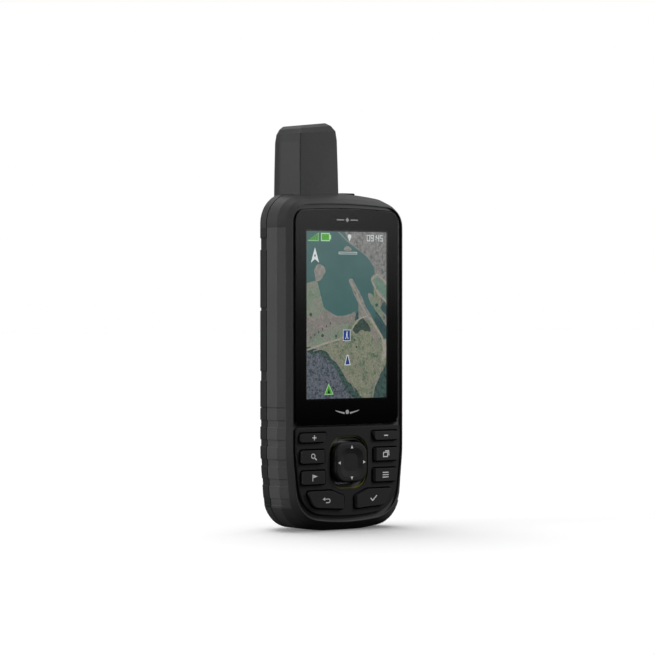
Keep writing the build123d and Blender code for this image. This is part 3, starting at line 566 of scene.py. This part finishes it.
# Pictograms in millimetres round the centre of each key.
LEGENDS = {
    "key_zoom_in": bar(-0.95, -0.2, 0.95, 0.2) + bar(-0.2, 0.2, 0.2, 0.95) + bar(-0.2, -0.95, 0.2, -0.2),
    "key_zoom_out": bar(-0.95, -0.2, 0.95, 0.2),
    "key_find": stroke(arc(-0.35, 0.3, 0.85, 0, 360)[:-1], LINE, True)
    + stroke([(0.32, -0.36), (1.3, -1.3)], BOLD_LINE),
    "key_page": stroke([(-1.5, -1.0), (0.5, -1.0), (0.5, 0.7), (-1.5, 0.7)], LINE, True)
    + stroke([(-0.7, 1.25), (1.15, 1.25), (1.15, -0.55)], LINE),
    "key_mark": stroke([(-1.0, -1.3), (-1.0, 1.3)], LINE) + [[(-0.7, 1.2), (1.4, 0.55), (-0.7, -0.1)]],
    "key_menu": bar(-1.5, 0.75, 1.5, 1.1) + bar(-1.5, -0.17, 1.5, 0.17) + bar(-1.5, -1.1, 1.5, -0.75),
    "key_back": stroke([(-1.2, 0.5), (0.7, 0.5)] + arc(0.7, -0.2, 0.7, 90, -90, 8) + [(-0.6, -0.9)], LINE)
    + [[(-1.0, 1.25), (-2.1, 0.5), (-1.0, -0.25)]],
    "key_select": stroke([(-1.5, 0.0), (-0.5, -0.95), (1.6, 1.05)], BOLD_LINE),
}


def key_legends(paint):
    """A pictogram on each key, riding with it."""
    for node, shapes in LEGENDS.items():
        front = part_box(node)[0].y
        centre = middle(node)
        name = node.replace("key_", "legend_")
        legend = inlay(name, shapes, front_place(centre.x, centre.z, front), LEGEND_DEPTH * MM, paint)
        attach(legend, node)


def rocker_arrows(paint):
    """Four small arrowheads round the rocker's rim."""
    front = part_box("dpad")[0].y
    centre = middle("dpad")
    reach = 6.15
    size = 0.62
    arrow = [(reach + size, 0.0), (reach - size, size), (reach - size, -size)]
    shapes = []
    for turn in range(4):
        a = turn * math.pi / 2
        across, up = math.cos(a), math.sin(a)
        shapes.append([(x * across - y * up, x * up + y * across) for x, y in arrow])
    place = front_place(centre.x, centre.z, front)
    arrows = inlay("rocker_arrows", shapes, place, SMALL_PRINT_DEPTH * MM, paint)
    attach(arrows, "rocker")


def power_symbol(paint):
    """Broken ring and bar on the power button."""
    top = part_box("power_button")[1].z
    centre = middle("power_button")
    shapes = stroke(arc(0, 0, 1.1, 125, 415, 20), 0.3) + bar(-0.15, 0.2, 0.15, 1.5)
    place = top_place(centre.x, centre.y, top)
    symbol = inlay("power_symbol", shapes, place, SMALL_PRINT_DEPTH * MM, paint)
    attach(symbol, "power_button")


legend_paint = print_white()
key_legends(legend_paint)
rocker_arrows(legend_paint)
power_symbol(legend_paint)


# ---------------------------------------------------------------- lens ornaments
# Millimetres: gap between print and lens, thickness, and distances from the lens's ends.
LENS_PRINT_GAP = 0.02
LENS_PRINT_DEPTH = 0.015
TOP_MARK_DROP = 4.6
FOOT_MARK_RISE = 5.3


def lens_white_glowing():
    """Bright back print under the lens, with a weak emission: painted light, the print glows though it is no
    lamp.
    """
    p = Paint("lens_white_glowing")
    patch = p.noise(0.8 * MM, 3)
    body = p.mix(patch, (0.82, 0.82, 0.82), (0.92, 0.92, 0.91))
    # The emission paints light into the print: it glows though it is no lamp.
    p.set(Base_Color=body, Roughness=0.5, Emission_Color=body, Emission_Strength=0.22)
    return p.material


def lens_marks(paint):
    """Plain printed ornaments above and below the picture, on the inner face of the lens."""
    low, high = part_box("screen_lens")
    inner = high.y - LENS_PRINT_GAP * MM
    depth = LENS_PRINT_DEPTH * MM
    diamond = [(-0.9, 0.0), (0.0, -0.9), (0.9, 0.0), (0.0, 0.9)]
    dashes = bar(-5.2, -0.2, -1.6, 0.2) + [diamond] + bar(1.6, -0.2, 5.2, 0.2)
    upper_place = front_place(0.0, high.z - TOP_MARK_DROP * MM, inner)
    upper = inlay("lens_mark_top", dashes, upper_place, depth, paint)
    left_wing = [(-6.0, 0.75), (-1.3, -0.15), (-1.3, -0.85), (-5.0, 0.15)]
    right_wing = [(6.0, 0.75), (5.0, 0.15), (1.3, -0.85), (1.3, -0.15)]
    wings = [left_wing, right_wing] + disc(0.0, 0.0, 0.85)
    lower_place = front_place(0.0, low.z + FOOT_MARK_RISE * MM, inner)
    lower = inlay("lens_mark_foot", wings, lower_place, depth, paint)
    for mark in (upper, lower):
        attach(mark, "root")


lens_marks(lens_white_glowing())


# ---------------------------------------------------------------- battery door
# Millimetres.
LATCH_ARC = 10.0
CHEVRON_COUNT = 3
CHEVRON_DROP = 2.4
CHEVRON_STEP = 2.2
CHEVRON_HALF = 5.2
CHEVRON_POINT = 1.6
CHEVRON_WIDTH = 0.75
CHEVRON_HEIGHT = 0.3
CHEVRON_ROOT = 0.02


def latch_marks(paint):
    """Printed arcs with arrowheads beside the latch, showing which way it turns."""
    latch = middle("latch_stud")
    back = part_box("battery_door")[1].y
    shapes = []
    for side in (-1, 1):
        sweep = arc(0, 0, LATCH_ARC, 20, 62, 10)
        shapes += stroke([(side * x, z) for x, z in sweep], BOLD_LINE)
        shapes.append([(side * 9.0, 1.1), (side * 10.7, 1.7), (side * 9.2, 3.9)])
    marks = inlay("latch_marks", shapes, back_place(latch.x, latch.z, back), LEGEND_DEPTH * MM, paint)
    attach(marks, "battery_door")


def door_chevrons(material):
    """Moulded thumb grip: three low chevrons under the rail."""
    low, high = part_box("battery_door")
    rail_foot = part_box("mounting_spine")[0].z
    shapes = []
    for row in range(CHEVRON_COUNT):
        drop = CHEVRON_DROP + row * CHEVRON_STEP
        ends = [(-CHEVRON_HALF, -drop), (0.0, -drop - CHEVRON_POINT), (CHEVRON_HALF, -drop)]
        shapes += stroke(ends, CHEVRON_WIDTH)
    centre = (low.x + high.x) / 2
    place = back_place(centre, rail_foot, high.y - CHEVRON_ROOT * MM)
    grip = inlay("door_chevrons", shapes, place, CHEVRON_HEIGHT * MM, material)
    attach(grip, "battery_door")


latch_marks(legend_paint)
door_chevrons(materials["black_plastic"])


# ---------------------------------------------------------------- screen picture
# Millimetres: the lit area, its drop below the panel's top, its gap in front and the layer spacing.
SCREEN_W = 39.2
SCREEN_H = 65.3
PICTURE_DROP = 1.8
PICTURE_GAP = 0.03
LAYER_STEP = 0.004

# Tones as 8-bit display values, blotch size in millimetres, and settings of ground_paint.
MAP_PAINTS = {
    "map_field": (((84, 100, 84), (112, 122, 100), (134, 132, 116), (100, 116, 92)), 3.5, {"clumps": 0.18}),
    "map_meadow": (((104, 122, 104), (118, 130, 114), (128, 124, 118)), 5, {}),
    "map_heath": (((108, 120, 106), (124, 118, 114), (136, 128, 124)), 2.5, {}),
    "map_town": (
        ((74, 88, 86), (106, 108, 106), (138, 136, 134), (82, 96, 92)), 1.4, {"mottle": 0.35, "clumps": 0.25},
    ),
    "map_water": (((53, 91, 90), (58, 95, 93), (62, 98, 97)), 9, {"detail": 2.0, "mottle": 0.02}),
    "map_stream": (((42, 66, 70), (58, 84, 84)), 2, {}),
    "map_forest": (
        ((36, 52, 60), (72, 82, 92), (108, 110, 118), (50, 66, 74)), 0.9, {"mottle": 0.35, "clumps": 0.4},
    ),
    "map_thicket": (((30, 50, 54), (66, 88, 82), (46, 70, 70)), 1.0, {"mottle": 0.4, "clumps": 0.5}),
    "map_sand": (((116, 118, 112), (142, 138, 132)), 1.2, {"clumps": 0.2}),
    "map_road": (((136, 134, 124), (160, 156, 144)), 1.5, {}),
    "map_tree": (((44, 62, 58), (64, 82, 72)), 0.6, {"clumps": 0.3}),
    "map_lawn": (((88, 120, 104), (104, 130, 114)), 2.0, {}),
    "mark_white": (((200, 208, 206), (214, 220, 220)), 2, {"mottle": 0.06}),
    "mark_pale": (((150, 206, 150), (170, 216, 168)), 2, {"mottle": 0.06}),
    "mark_green": (((62, 148, 30), (78, 162, 40)), 2, {"mottle": 0.1}),
    "mark_dark": (((20, 36, 24), (30, 46, 34)), 2, {"mottle": 0.1}),
    "mark_blue": (((22, 52, 118), (30, 64, 134)), 2, {"mottle": 0.1}),
}

# Patches of ground from the bottom layer up: paint, roughness of the edge, variation of it, and
# corners in shares of the picture (across, down).
PATCHES = (
    ("map_meadow", 0.02, 0.0, (
        (-0.1, 0.24), (0.3, 0.26), (0.42, 0.5), (0.62, 0.52), (0.42, 0.62), (0.1, 0.70), (-0.1, 0.72),
    )),
    ("map_heath", 0.02, 2, (
        (-0.1, 0.53), (0.10, 0.52), (0.26, 0.46), (0.44, 0.49), (0.60, 0.47), (0.56, 0.54), (0.34, 0.57),
        (0.16, 0.60), (0.04, 0.66), (-0.1, 0.68),
    )),
    ("map_town", 0.01, 3, (
        (0.36, -0.08), (0.6, 0.1), (0.84, 0.2), (0.9, 0.34), (0.98, 0.5), (1.1, 0.6), (1.2, 0.2), (1.1, -0.1),
    )),
    ("map_water", 0.006, 5, (
        (-0.1, -0.1), (0.38, -0.06), (0.53, 0.06), (0.75, 0.14), (0.83, 0.19), (0.85, 0.25), (0.82, 0.29),
        (0.84, 0.34), (0.77, 0.37), (0.82, 0.44), (0.90, 0.50), (0.99, 0.60), (0.975, 0.64), (0.90, 0.585),
        (0.81, 0.51), (0.72, 0.44), (0.66, 0.46), (0.63, 0.52), (0.60, 0.48), (0.53, 0.495), (0.39, 0.504),
        (0.289, 0.484), (0.21, 0.45), (0.205, 0.40), (0.185, 0.36), (0.16, 0.32), (0.13, 0.295),
        (-0.1, 0.275),
    )),
    ("map_stream", 0.004, 1, ((0.62, 0.485), (0.66, 0.49), (0.645, 0.525), (0.60, 0.53))),
    ("map_stream", 0.004, 2, (
        (0.97, 0.42), (1.03, 0.46), (1.03, 0.62), (0.975, 0.64), (0.90, 0.585), (0.85, 0.53), (0.88, 0.50),
    )),
    ("map_meadow", 0.004, 8, (
        (0.765, 0.375), (0.815, 0.372), (0.88, 0.425), (0.95, 0.475), (1.03, 0.53), (1.03, 0.585),
        (0.955, 0.535), (0.875, 0.475), (0.80, 0.43),
    )),
    ("map_town", 0.003, 8, ((0.95, 0.50), (1.03, 0.535), (1.03, 0.57), (0.97, 0.545))),
    ("map_sand", 0.008, 4, (
        (0.102, 0.264), (0.094, 0.232), (0.136, 0.197), (0.196, 0.203), (0.232, 0.24), (0.20, 0.264),
        (0.16, 0.295), (0.11, 0.292),
    )),
    ("map_sand", 0.004, 6, ((0.46, 0.108), (0.49, 0.088), (0.53, 0.09), (0.56, 0.108), (0.51, 0.115))),
    ("map_sand", 0.006, 4, (
        (0.52, 0.295), (0.57, 0.285), (0.62, 0.33), (0.68, 0.378), (0.72, 0.43), (0.75, 0.46), (0.82, 0.52),
        (0.73, 0.53), (0.645, 0.516), (0.665, 0.459), (0.612, 0.402), (0.56, 0.34),
    )),
    ("map_sand", 0.004, 2, (
        (0.80, 0.285), (0.88, 0.253), (0.97, 0.29), (1.04, 0.33), (1.04, 0.46), (0.96, 0.405), (0.88, 0.36),
    )),
    ("map_lawn", 0.003, 2, (
        (0.845, 0.295), (0.89, 0.272), (0.96, 0.305), (1.04, 0.35), (1.04, 0.43), (0.97, 0.39), (0.89, 0.345),
    )),
    ("map_tree", 0.02, 7, (
        (0.58, 0.575), (0.62, 0.545), (0.70, 0.53), (0.78, 0.56), (0.79, 0.60), (0.70, 0.595), (0.62, 0.615),
    )),
    ("map_heath", 0.01, 7, ((0.80, 0.56), (0.86, 0.60), (0.90, 0.66), (0.88, 0.70), (0.83, 0.64))),
    ("map_thicket", 0.02, 7, (
        (1.05, 0.79), (0.96, 0.83), (0.90, 0.88), (0.86, 0.94), (0.81, 1.05), (1.1, 1.1),
    )),
    ("map_thicket", 0.018, 6, (
        (-0.1, 0.72), (0.12, 0.703), (0.22, 0.72), (0.357, 0.785), (0.46, 0.858), (0.527, 0.915),
        (0.646, 0.963), (0.70, 1.05), (0.3, 1.2), (-0.1, 1.1),
    )),
    ("map_forest", 0.02, 9, (
        (-0.1, 0.74), (0.06, 0.735), (0.20, 0.745), (0.33, 0.81), (0.41, 0.88), (0.47, 0.94), (0.55, 0.99),
        (0.55, 1.1), (-0.1, 1.1),
    )),
)

# Roads and shores: paint, width in millimetres, and points in shares of the picture.
ROADS = (
    ("map_sand", 0.5, ((0.26, 0.478), (0.39, 0.51), (0.54, 0.50), (0.58, 0.492))),
    ("map_road", 0.8, ((0.0, 0.707), (0.22, 0.67), (0.425, 0.642))),
    ("map_sand", 0.35, ((0.08, 0.715), (0.25, 0.69), (0.42, 0.662))),
    ("map_road", 0.55, (
        (0.425, 0.642), (0.56, 0.585), (0.612, 0.54), (0.70, 0.514), (0.76, 0.51), (0.80, 0.524),
    )),
    ("map_road", 0.9, ((0.80, 0.524), (0.884, 0.589), (0.945, 0.638), (0.965, 0.703), (0.95, 0.776))),
    ("map_road", 1.8, ((0.965, 0.65), (0.975, 0.70), (0.97, 0.76))),
    ("map_sand", 0.7, ((0.95, 0.776), (0.91, 0.84), (0.86, 0.91), (0.82, 1.0))),
    ("map_road", 0.6, ((0.81, 0.29), (0.88, 0.255), (0.97, 0.292), (1.0, 0.31))),
    ("map_road", 0.6, ((0.82, 0.30), (0.89, 0.365), (1.0, 0.42))),
    ("map_road", 0.4, ((0.545, 0.30), (0.62, 0.37), (0.68, 0.44), (0.76, 0.505))),
    ("map_sand", 0.45, ((0.39, 0.0), (0.53, 0.065), (0.75, 0.145), (0.83, 0.20))),
    ("map_heath", 0.3, ((0.25, 0.70), (0.40, 0.80), (0.52, 0.88), (0.60, 0.96))),
    ("map_heath", 0.3, ((0.40, 0.72), (0.60, 0.78), (0.74, 0.88), (0.78, 1.0))),
)

# Single trees: radius in millimetres, corners, and place in shares of the picture.
LONE_TREES = (
    (0.75, 8, 0.05, 0.497),
    (0.7, 8, 0.195, 0.622),
    (0.5, 8, 0.61, 0.365),
    (0.7, 8, 0.875, 0.44),
)

# Bars of a seven-segment figure in millimetres, and the bars of each figure of the clock.
SEGMENTS = {
    "top": (-0.55, 0.95, 0.55, 1.25),
    "middle": (-0.55, -0.15, 0.55, 0.15),
    "foot": (-0.55, -1.25, 0.55, -0.95),
    "upper_left": (-0.75, 0.0, -0.45, 1.25),
    "upper_right": (0.45, 0.0, 0.75, 1.25),
    "lower_left": (-0.75, -1.25, -0.45, 0.0),
    "lower_right": (0.45, -1.25, 0.75, 0.0),
}
DIGITS = {
    "0": ("top", "foot", "upper_left", "upper_right", "lower_left", "lower_right"),
    "4": ("middle", "upper_left", "upper_right", "lower_right"),
    "5": ("top", "middle", "foot", "upper_left", "lower_right"),
    "9": ("top", "middle", "foot", "upper_left", "upper_right", "lower_right"),
}
CLOCK = "0945"
CLOCK_START = -3.6
CLOCK_STEP = 1.9
CLOCK_GAP = 0.8


def srgb(red, green, blue):
    """Linear colour from 8-bit display values."""
    def linear(value):
        share = value / 255
        return share / 12.92 if share <= 0.04045 else ((share + 0.055) / 1.055) ** 2.4
    return linear(red), linear(green), linear(blue)


def ground_paint(name, tones, size, detail=6.0, mottle=0.25, clumps=0.0):
    """Screen colour lit from behind: blotches of several tones at two scales, speckle and dark clumps."""
    p = Paint(name)
    coarse = p.math("MULTIPLY", p.noise(size, detail), 0.6)
    fine = p.math("MULTIPLY", p.noise(size * 0.24, 4), 0.4)
    blotch = p.math("ADD", coarse, fine)
    gaps = max(len(tones) - 1, 1)
    picture = p.ramp(blotch, [(0.36 + 0.28 * i / gaps, tone) for i, tone in enumerate(tones)])
    speck = p.remap(p.noise(0.4 * MM, 3), 1 - mottle, 1 + mottle, 0.3, 0.7)
    shadow = p.remap(p.noise(1.1 * MM, 3), 1.0, 1 - clumps, 0.54, 0.62)
    level = p.math("MULTIPLY", speck, shadow)
    grey = p.put("CombineColor", {0: level, 1: level, 2: level}).outputs[0]
    picture = p.mix(1.0, picture, grey, "MULTIPLY")
    p.set(Base_Color=(0.0, 0.0, 0.0, 1.0), Roughness=0.4, Emission_Color=picture, Emission_Strength=1.0)
    p.set(Specular_IOR_Level=0.2)
    return p.material


def map_paints():
    """Every colour of the picture."""
    return {
        name: ground_paint(name, [srgb(*tone) for tone in tones], size * MM, **settings)
        for name, (tones, size, settings) in MAP_PAINTS.items()
    }


def spline(a, b, c, d, t):
    """Value between b and c on a smooth curve that passes through all four."""
    square = (2 * a - 5 * b + 4 * c - d) * t * t
    cube = (3 * b - a - 3 * c + d) * t ** 3
    return 0.5 * (2 * b + (c - a) * t + square + cube)


def curve_points(before, start, end, after, steps):
    """Points of a smooth curve from start towards end."""
    made = []
    for step in range(steps):
        t = step / steps
        made.append(tuple(spline(*values, t) for values in zip(before, start, end, after)))
    return made


def smooth_line(points, steps=6):
    """Open curve through points."""
    padded = [points[0], *points, points[-1]]
    made = []
    for i in range(len(points) - 1):
        made += curve_points(*padded[i:i + 4], steps)
    return made + [points[-1]]


def smooth_loop(points, rough, seed, steps=6):
    """Closed curve through points, with a little roughness."""
    count = len(points)
    made = []
    for i in range(count):
        made += curve_points(*(points[(i + k - 1) % count] for k in range(4)), steps)

    def jitter(x, y, row):
        return rough * noise.noise(Vector((x * 14, y * 20, row)))

    return [(x + jitter(x, y, seed), y + jitter(x, y, seed + 9)) for x, y in made]


def clip_to_screen(points):
    """Keep an outline inside the picture."""
    return [(min(max(x, 0.0), 1.0), min(max(y, 0.0), 1.0)) for x, y in points]


def track(points, width):
    """A path: points in picture shares, width in millimetres."""
    flat = [(s * SCREEN_W, t * SCREEN_H) for s, t in points]
    return [[(x / SCREEN_W, y / SCREEN_H) for x, y in quad] for quad in stroke(flat, width)]


def symbol(shapes, s, t):
    """Shapes in millimetres, centred at a picture share; up is up."""
    return [[(s + x / SCREEN_W, t - y / SCREEN_H) for x, y in outline] for outline in shapes]


def digit(value):
    """Seven-segment figure."""
    return [outline for name in DIGITS[value] for outline in bar(*SEGMENTS[name])]


class Picture:
    """Flat shapes over the display, each layer a hair nearer to the eye than the one before."""

    def __init__(self, paints):
        low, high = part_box("display_panel")
        self.centre_x = (low.x + high.x) / 2
        self.top = high.z - PICTURE_DROP * MM
        self.front = low.y - PICTURE_GAP * MM
        self.shapes = bmesh.new()
        self.paints = paints
        self.used = []
        self.layers = 0

    def sheet(self, outlines, name):
        """One layer of outlines in picture shares."""
        material = self.paints[name]
        if material not in self.used:
            self.used.append(material)
        index = self.used.index(material)
        y = self.front - self.layers * LAYER_STEP * MM
        self.layers += 1
        for outline in outlines:
            ring = []
            for s, t in clip_to_screen(outline):
                place = (self.centre_x + (s - 0.5) * SCREEN_W * MM, y, self.top - t * SCREEN_H * MM)
                ring.append(self.shapes.verts.new(place))
            face = self.shapes.faces.new(ring)
            face.material_index = index
            bmesh.ops.triangulate(self.shapes, faces=[face])

    def build(self):
        """Turn the layers into one object that faces the front."""
        picture = link_mesh("screen_picture", self.shapes, self.used)
        for polygon in picture.data.polygons:
            if polygon.normal.y > 0:
                polygon.flip()
        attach(picture, "root")


def lay_ground(picture):
    """Fields, water, sand and woods."""
    picture.sheet([[(0, 0), (1, 0), (1, 1), (0, 1)]], "map_field")
    for name, rough, seed, points in PATCHES:
        picture.sheet([smooth_loop(points, rough, seed)], name)


def lay_trees(picture):
    """Scattered clumps, a hedge row and a few lone trees."""
    clumps = []
    for i in range(34):
        s = 0.04 + 0.92 * noise.cell(Vector((i * 3.1 + 0.5, 0.5, 0.5)))
        t = 0.64 + 0.34 * noise.cell(Vector((i * 5.7 + 0.5, 7.5, 0.5)))
        size = 0.2 + 0.4 * noise.cell(Vector((i + 0.5, 3.5, 2.5)))
        clumps += symbol(disc(0, 0, size, 7), s, t)
    bush = [(-0.3, -0.5), (0.25, -0.4), (0.4, 0.35), (-0.1, 0.6)]
    for i in range(6):
        clumps += symbol([bush], 0.05 + i * 0.048, 0.635 - i * 0.017)
    for radius, corners, s, t in LONE_TREES:
        clumps += symbol(disc(0, 0, radius, corners), s, t)
    picture.sheet(clumps, "map_tree")


def lay_roads(picture):
    """Roads, tracks and shore lines."""
    for name, width, points in ROADS:
        picture.sheet(track(smooth_line(points), width), name)


def lay_signal(picture):
    """Signal wedge with stepped bars."""
    s, t = 0.082, 0.034
    bars = [outline for i in range(5) for outline in bar(-2.5 + i, -1.4, -1.7 + i, -0.9 + i * 0.55)]
    picture.sheet(symbol([[(-2.7, -1.6), (2.6, -1.6), (2.6, 1.7)]], s, t), "mark_pale")
    picture.sheet(symbol([[(-2.2, -1.42), (2.42, -1.42), (2.42, 1.4)]], s, t), "map_water")
    picture.sheet(symbol(bars, s, t), "mark_green")


def lay_battery(picture):
    """Battery gauge."""
    s, t = 0.235, 0.034
    picture.sheet(symbol(bar(-2.4, -1.6, 1.9, 1.6) + bar(1.9, -0.9, 2.5, 0.9), s, t), "mark_pale")
    picture.sheet(symbol(bar(-2.0, -1.2, 1.5, 1.2), s, t), "mark_green")


def lay_clock(picture):
    """Position pin and clock reading in the status row."""
    pin = disc(0, 0.35, 0.9, 14) + [[(-0.65, -0.2), (0.0, -1.6), (0.65, -0.2)]]
    picture.sheet(symbol(pin, 0.53, 0.034), "mark_white")
    figures = []
    for place, value in enumerate(CLOCK):
        shift = CLOCK_START + place * CLOCK_STEP + (CLOCK_GAP if place > 1 else 0.0)
        figures += [[(x + shift, y) for x, y in outline] for outline in digit(value)]
    figures += bar(0.02, 0.35, 0.38, 0.75) + bar(0.02, -0.75, 0.38, -0.35)
    picture.sheet(symbol(figures, 0.86, 0.036), "mark_white")


def lay_north(picture):
    """North arrow and scale bar."""
    s, t = 0.10, 0.148
    left_half = [(-2.0, -2.6), (0.0, 3.4), (0.0, -1.2)]
    right_half = [(0.0, 3.4), (2.0, -2.6), (0.0, -1.2)]
    picture.sheet(symbol([left_half, right_half], s, t), "mark_white")
    picture.sheet(symbol([[(-0.45, -0.2), (0.45, -0.2), (0.0, 0.9)]], s, t), "mark_dark")
    scale_bar = stroke([(-4.4, -0.35), (4.4, -0.35), (4.4, 0.35), (-4.4, 0.35)], 0.2, True)
    picture.sheet(symbol(scale_bar, 0.51, 0.128), "mark_white")


def lay_trailhead(picture):
    """Square marker with a walking figure."""
    s, t = 0.495, 0.622
    picture.sheet(symbol(bar(-1.8, -2.2, 1.8, 2.2), s, t), "mark_white")
    picture.sheet(symbol(bar(-1.6, -2.0, 1.6, 2.0), s, t), "mark_blue")
    head = disc(0.15, 1.25, 0.32, 8)
    body = [(-0.35, 0.8), (0.4, 0.8), (0.3, -0.3), (-0.2, -0.3)]
    left_leg = [(-0.2, -0.3), (0.1, -0.3), (-0.5, -1.5), (-0.8, -1.4)]
    right_leg = [(0.1, -0.3), (0.35, -0.3), (0.85, -1.4), (0.5, -1.5)]
    picture.sheet(symbol(head + [body, left_leg, right_leg], s, t), "mark_white")


def lay_markers(picture):
    """Own position and a camp."""
    s, t = 0.505, 0.768
    picture.sheet(symbol([[(-1.5, -2.2), (1.5, -2.2), (0.35, 1.9), (-0.35, 1.9)]], s, t), "mark_white")
    picture.sheet(symbol([[(-1.1, -1.9), (1.1, -1.9), (0.15, 1.5), (-0.15, 1.5)]], s, t), "mark_blue")
    s, t = 0.27, 0.945
    picture.sheet(symbol([[(-2.2, -2.0), (2.2, -2.0), (0.0, 2.3)]], s, t), "mark_pale")
    picture.sheet(symbol([[(-1.8, -1.75), (1.8, -1.75), (0.0, 1.75)]], s, t), "mark_green")
    picture.sheet(symbol([[(-0.7, -1.6), (0.7, -1.6), (0.0, 0.5)]], s, t), "mark_dark")


def screen_picture():
    """Map as a satellite would see it, with a status row and markers, on thin sheets over the display."""
    picture = Picture(map_paints())
    lay_ground(picture)
    lay_trees(picture)
    lay_roads(picture)
    lay_signal(picture)
    lay_battery(picture)
    lay_clock(picture)
    lay_north(picture)
    lay_trailhead(picture)
    lay_markers(picture)
    picture.build()


screen_picture()
